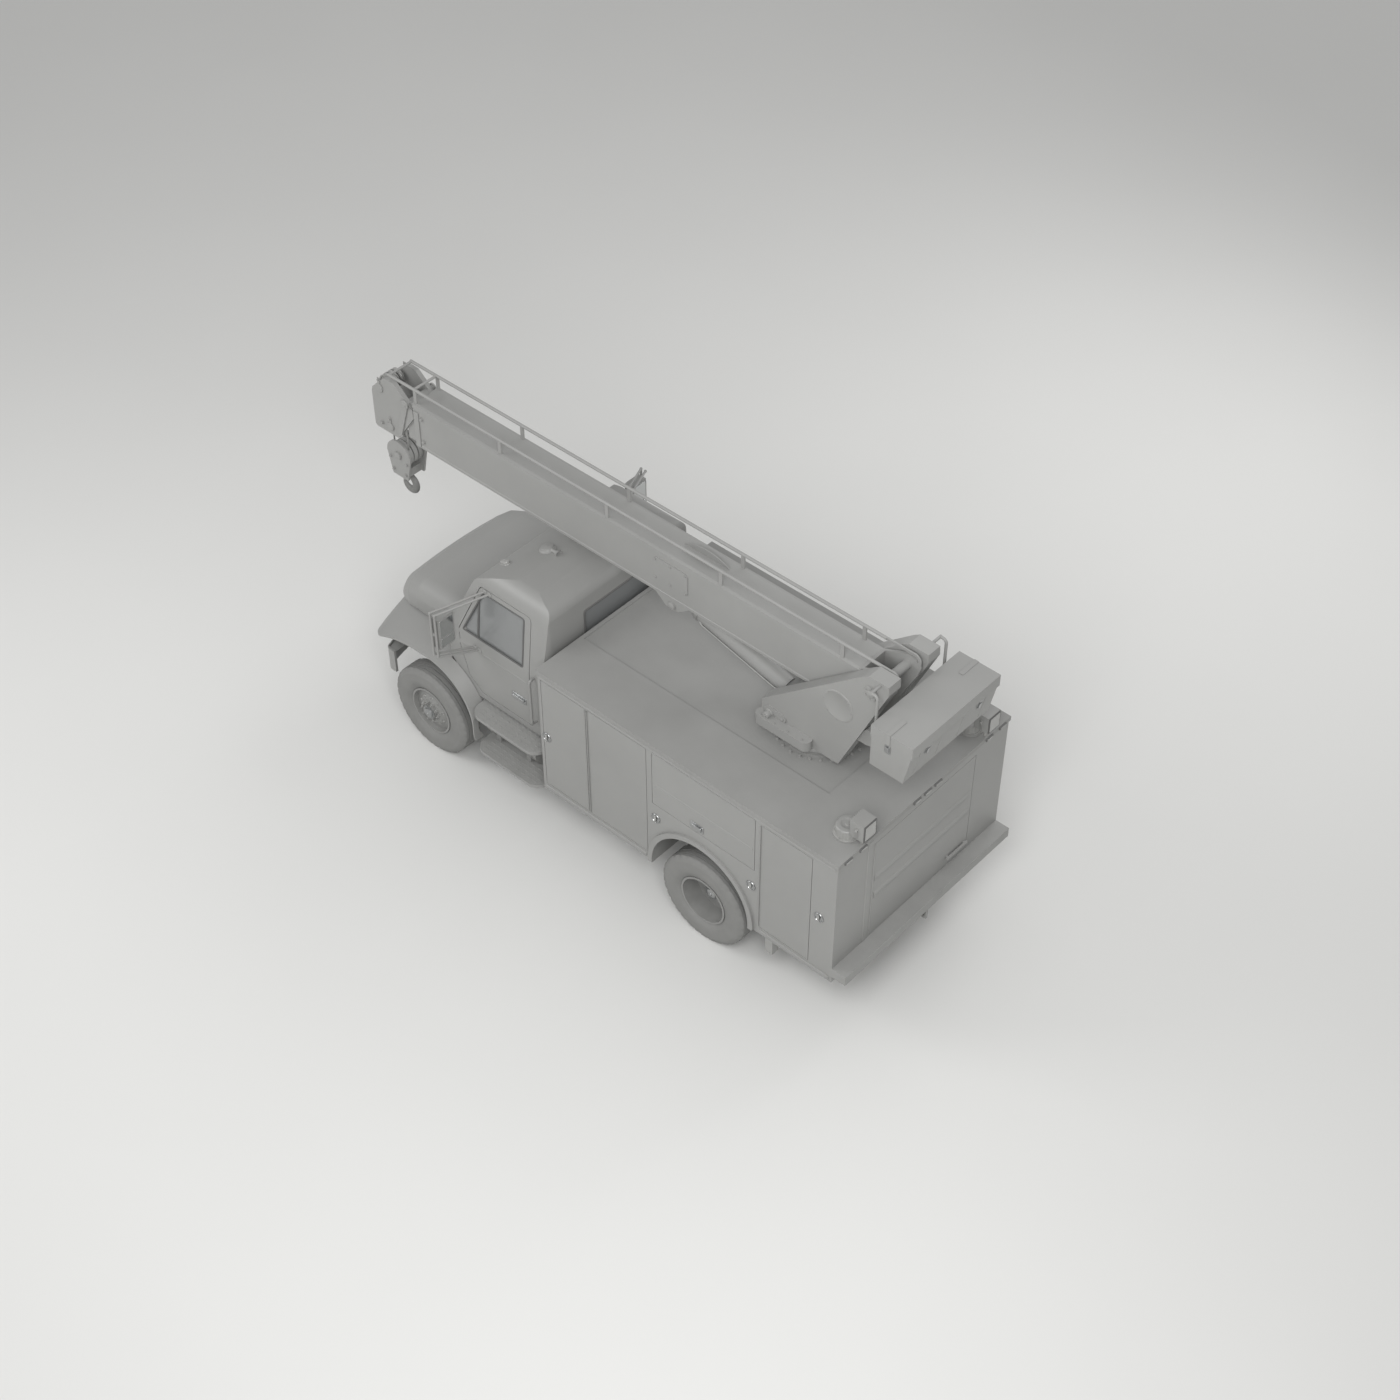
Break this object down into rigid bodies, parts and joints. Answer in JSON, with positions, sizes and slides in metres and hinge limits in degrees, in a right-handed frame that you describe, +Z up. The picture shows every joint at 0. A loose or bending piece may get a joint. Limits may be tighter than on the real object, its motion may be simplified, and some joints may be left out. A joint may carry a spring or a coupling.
{
  "type": "digger derrick truck",
  "caption": "Grey derrick truck: conventional cab, closed service body with side lockers, slewing turret and telescopic boom with a hook block, every door, wheel and boom joint live",
  "frame": {"origin": "ground point under the middle of the bounding box", "axes": "+X forward to the cab's nose, +Y to the driver's left, +Z up"},
  "size_m": [7.14, 2.9472, 3.575],
  "materials": {
    "body_paint": "satin grey coachwork paint",
    "boom_paint": "satin grey paint on welded steel",
    "chassis_paint": "black chassis paint",
    "deck_plate": "painted floor plate",
    "tyre_rubber": "carbon rubber",
    "wheel_steel": "grey painted wheel",
    "machined_steel": "bare machined steel",
    "plated_rod": "hard chromed rod",
    "bright_trim": "grille and bumper steel",
    "window_glass": "grey tinted glass",
    "lamp_lens": "moulded lamp lens",
    "cab_plastic": "dark moulded plastic",
    "seat_fabric": "woven seat cover",
    "cast_metal": "cast iron and forged steel",
    "tank_alloy": "rolled tank alloy and step plate"
  },
  "bodies": {
    "truck": {"chassis_frame": "chassis_paint", "front_axle": "chassis_paint", "rear_axle": "chassis_paint", "powertrain": "cast_metal", "step_tanks": "tank_alloy", "front_bumper": "bright_trim", "fenders": "body_paint", "front_lamps": "lamp_lens", "grille": "bright_trim", "cab_shell": "body_paint", "cab_glass": "window_glass", "cab_interior": "cab_plastic", "seats": "seat_fabric", "grab_handles": "bright_trim", "body_left": "body_paint", "body_right": "body_paint", "bed_floor": "body_paint", "rear_wall": "body_paint", "deck": "deck_plate", "rear_bumper": "chassis_paint", "body_lamps": "lamp_lens", "slew_ring": "machined_steel"},
    "hood": {"hood": "body_paint"},
    "cab_door_left": {"cab_door_left": "body_paint", "door_glass_left": "window_glass"},
    "knuckle_left": {"knuckle_left": "cast_metal"},
    "front_wheel_left": {"wheel_front_left": "wheel_steel", "tyre_front_left": "tyre_rubber"},
    "rear_wheel_left": {"wheel_rear_left": "wheel_steel", "tyre_rear_left": "tyre_rubber"},
    "cab_door_right": {"cab_door_right": "body_paint", "door_glass_right": "window_glass"},
    "knuckle_right": {"knuckle_right": "cast_metal"},
    "front_wheel_right": {"wheel_front_right": "wheel_steel", "tyre_front_right": "tyre_rubber"},
    "rear_wheel_right": {"wheel_rear_right": "wheel_steel", "tyre_rear_right": "tyre_rubber"},
    "door_a_left": {"door_a_left": "body_paint"},
    "door_b_left": {"door_b_left": "body_paint"},
    "door_c_left": {"door_c_left": "body_paint"},
    "door_d_left": {"door_d_left": "body_paint"},
    "stabilizer_left": {"stabilizer_left": "machined_steel"},
    "door_a_right": {"door_a_right": "body_paint"},
    "door_b_right": {"door_b_right": "body_paint"},
    "door_c_right": {"door_c_right": "body_paint"},
    "door_d_right": {"door_d_right": "body_paint"},
    "stabilizer_right": {"stabilizer_right": "machined_steel"},
    "rear_door": {"rear_door": "body_paint"},
    "turret": {"turret": "boom_paint", "tool_box": "body_paint"},
    "tool_box_lid": {"tool_box_lid": "body_paint"},
    "boom": {"boom_base": "boom_paint"},
    "boom_extension": {"boom_extension": "boom_paint", "head_sheaves": "cast_metal"},
    "hook_block": {"hook_block": "boom_paint"},
    "hook": {"hook": "cast_metal"},
    "lift_barrel": {"lift_barrel": "boom_paint"},
    "lift_stage": {"lift_stage": "plated_rod"},
    "lift_rod": {"lift_rod": "plated_rod"}
  },
  "joints": [
    {"name": "hood_tilt", "type": "hinge", "parent": "truck", "child": "hood", "pos_m": [1.785, 0, 1.84], "axis": [0, -1, 0], "range_deg": [0, 45]},
    {"name": "cab_door_left_hinge", "type": "hinge", "parent": "truck", "child": "cab_door_left", "pos_m": [1.575, 1.033, 1.7], "axis": [0, 0, -1], "range_deg": [0, 60]},
    {"name": "steer_left", "type": "hinge", "parent": "truck", "child": "knuckle_left", "pos_m": [2.011, 0.79, 0.51], "axis": [0, 0, 1], "range_deg": [-35, 35]},
    {"name": "front_wheel_left_spin", "type": "hinge", "parent": "knuckle_left", "child": "front_wheel_left", "pos_m": [2.011, 1.035, 0.51], "axis": [0, 1, 0], "continuous": true},
    {"name": "rear_wheel_left_spin", "type": "hinge", "parent": "truck", "child": "rear_wheel_left", "pos_m": [-1.74, 0.922, 0.51], "axis": [0, 1, 0], "continuous": true},
    {"name": "cab_door_right_hinge", "type": "hinge", "parent": "truck", "child": "cab_door_right", "pos_m": [1.575, -1.033, 1.7], "axis": [0, 0, 1], "range_deg": [0, 60]},
    {"name": "steer_right", "type": "hinge", "parent": "truck", "child": "knuckle_right", "pos_m": [2.011, -0.79, 0.51], "axis": [0, 0, 1], "range_deg": [-35, 35]},
    {"name": "front_wheel_right_spin", "type": "hinge", "parent": "knuckle_right", "child": "front_wheel_right", "pos_m": [2.011, -1.035, 0.51], "axis": [0, 1, 0], "continuous": true},
    {"name": "rear_wheel_right_spin", "type": "hinge", "parent": "truck", "child": "rear_wheel_right", "pos_m": [-1.74, -0.922, 0.51], "axis": [0, 1, 0], "continuous": true},
    {"name": "door_a_left_hinge", "type": "hinge", "parent": "truck", "child": "door_a_left", "pos_m": [-0.3147, 1.22, 1.448], "axis": [0, 0, 1], "range_deg": [0, 90]},
    {"name": "door_b_left_hinge", "type": "hinge", "parent": "truck", "child": "door_b_left", "pos_m": [-0.3503, 1.22, 1.448], "axis": [0, 0, -1], "range_deg": [0, 90]},
    {"name": "door_c_left_hinge", "type": "hinge", "parent": "truck", "child": "door_c_left", "pos_m": [-1.78, 1.22, 2.1397], "axis": [1, 0, 0], "range_deg": [0, 95]},
    {"name": "door_d_left_hinge", "type": "hinge", "parent": "truck", "child": "door_d_left", "pos_m": [-2.4753, 1.22, 1.443], "axis": [0, 0, -1], "range_deg": [0, 95]},
    {"name": "stabilizer_left_slide", "type": "slide", "parent": "truck", "child": "stabilizer_left", "axis": [0, 0, -1], "range_m": [0, 0.4]},
    {"name": "door_a_right_hinge", "type": "hinge", "parent": "truck", "child": "door_a_right", "pos_m": [-0.3147, -1.22, 1.448], "axis": [0, 0, -1], "range_deg": [0, 90]},
    {"name": "door_b_right_hinge", "type": "hinge", "parent": "truck", "child": "door_b_right", "pos_m": [-0.3503, -1.22, 1.448], "axis": [0, 0, 1], "range_deg": [0, 90]},
    {"name": "door_c_right_hinge", "type": "hinge", "parent": "truck", "child": "door_c_right", "pos_m": [-1.78, -1.22, 2.1397], "axis": [-1, 0, 0], "range_deg": [0, 95]},
    {"name": "door_d_right_hinge", "type": "hinge", "parent": "truck", "child": "door_d_right", "pos_m": [-2.4753, -1.22, 1.443], "axis": [0, 0, 1], "range_deg": [0, 95]},
    {"name": "stabilizer_right_slide", "type": "slide", "parent": "truck", "child": "stabilizer_right", "axis": [0, 0, -1], "range_m": [0, 0.4]},
    {"name": "rear_door_hinge", "type": "hinge", "parent": "truck", "child": "rear_door", "pos_m": [-3.335, 0.7047, 1.49], "axis": [0, 0, -1], "range_deg": [0, 110]},
    {"name": "boom_swing", "type": "hinge", "parent": "truck", "child": "turret", "pos_m": [-2.135, 0, 2.29], "axis": [0, 0, 1], "continuous": true},
    {"name": "lid_hinge", "type": "hinge", "parent": "turret", "child": "tool_box_lid", "pos_m": [-3.123, 0, 3.355], "axis": [0, 1, 0], "range_deg": [0, 95]},
    {"name": "boom_lift", "type": "hinge", "parent": "turret", "child": "boom", "pos_m": [-2.915, 0, 3.4], "axis": [0, -1, 0], "range_deg": [0, 55]},
    {"name": "boom_extend", "type": "slide", "parent": "boom", "child": "boom_extension", "axis": [1, 0, 0], "range_m": [0, 4]},
    {"name": "hook_hang", "type": "hinge", "parent": "boom_extension", "child": "hook_block", "pos_m": [3.335, 0, 2.905], "axis": [0, -1, 0], "range_deg": [-55, 0]},
    {"name": "hook_swivel", "type": "hinge", "parent": "hook_block", "child": "hook", "pos_m": [3.335, 0, 2.18], "axis": [0, 0, 1], "continuous": true},
    {"name": "lift_barrel_turn", "type": "hinge", "parent": "turret", "child": "lift_barrel", "pos_m": [-1.815, 0, 2.455], "axis": [0, -1, 0], "range_deg": [0, 58.8]},
    {"name": "lift_stage_out", "type": "slide", "parent": "lift_barrel", "child": "lift_stage", "axis": [0.97, 0, 0.2432], "range_m": [0, 0.66658]},
    {"name": "lift_rod_out", "type": "slide", "parent": "lift_stage", "child": "lift_rod", "axis": [0.97, 0, 0.2432], "range_m": [0, 0.66658]}
  ],
  "couplings": [
    {"joint": "steer_right", "follows": "steer_left", "ratio": 1},
    {"joint": "hook_hang", "follows": "boom_lift", "ratio": -1},
    {"joint": "lift_barrel_turn", "follows": "boom_lift", "ratio": 1.0689},
    {"joint": "lift_stage_out", "follows": "boom_lift", "m_per_rad": 0.6943},
    {"joint": "lift_rod_out", "follows": "boom_lift", "m_per_rad": 0.6943}
  ]
}
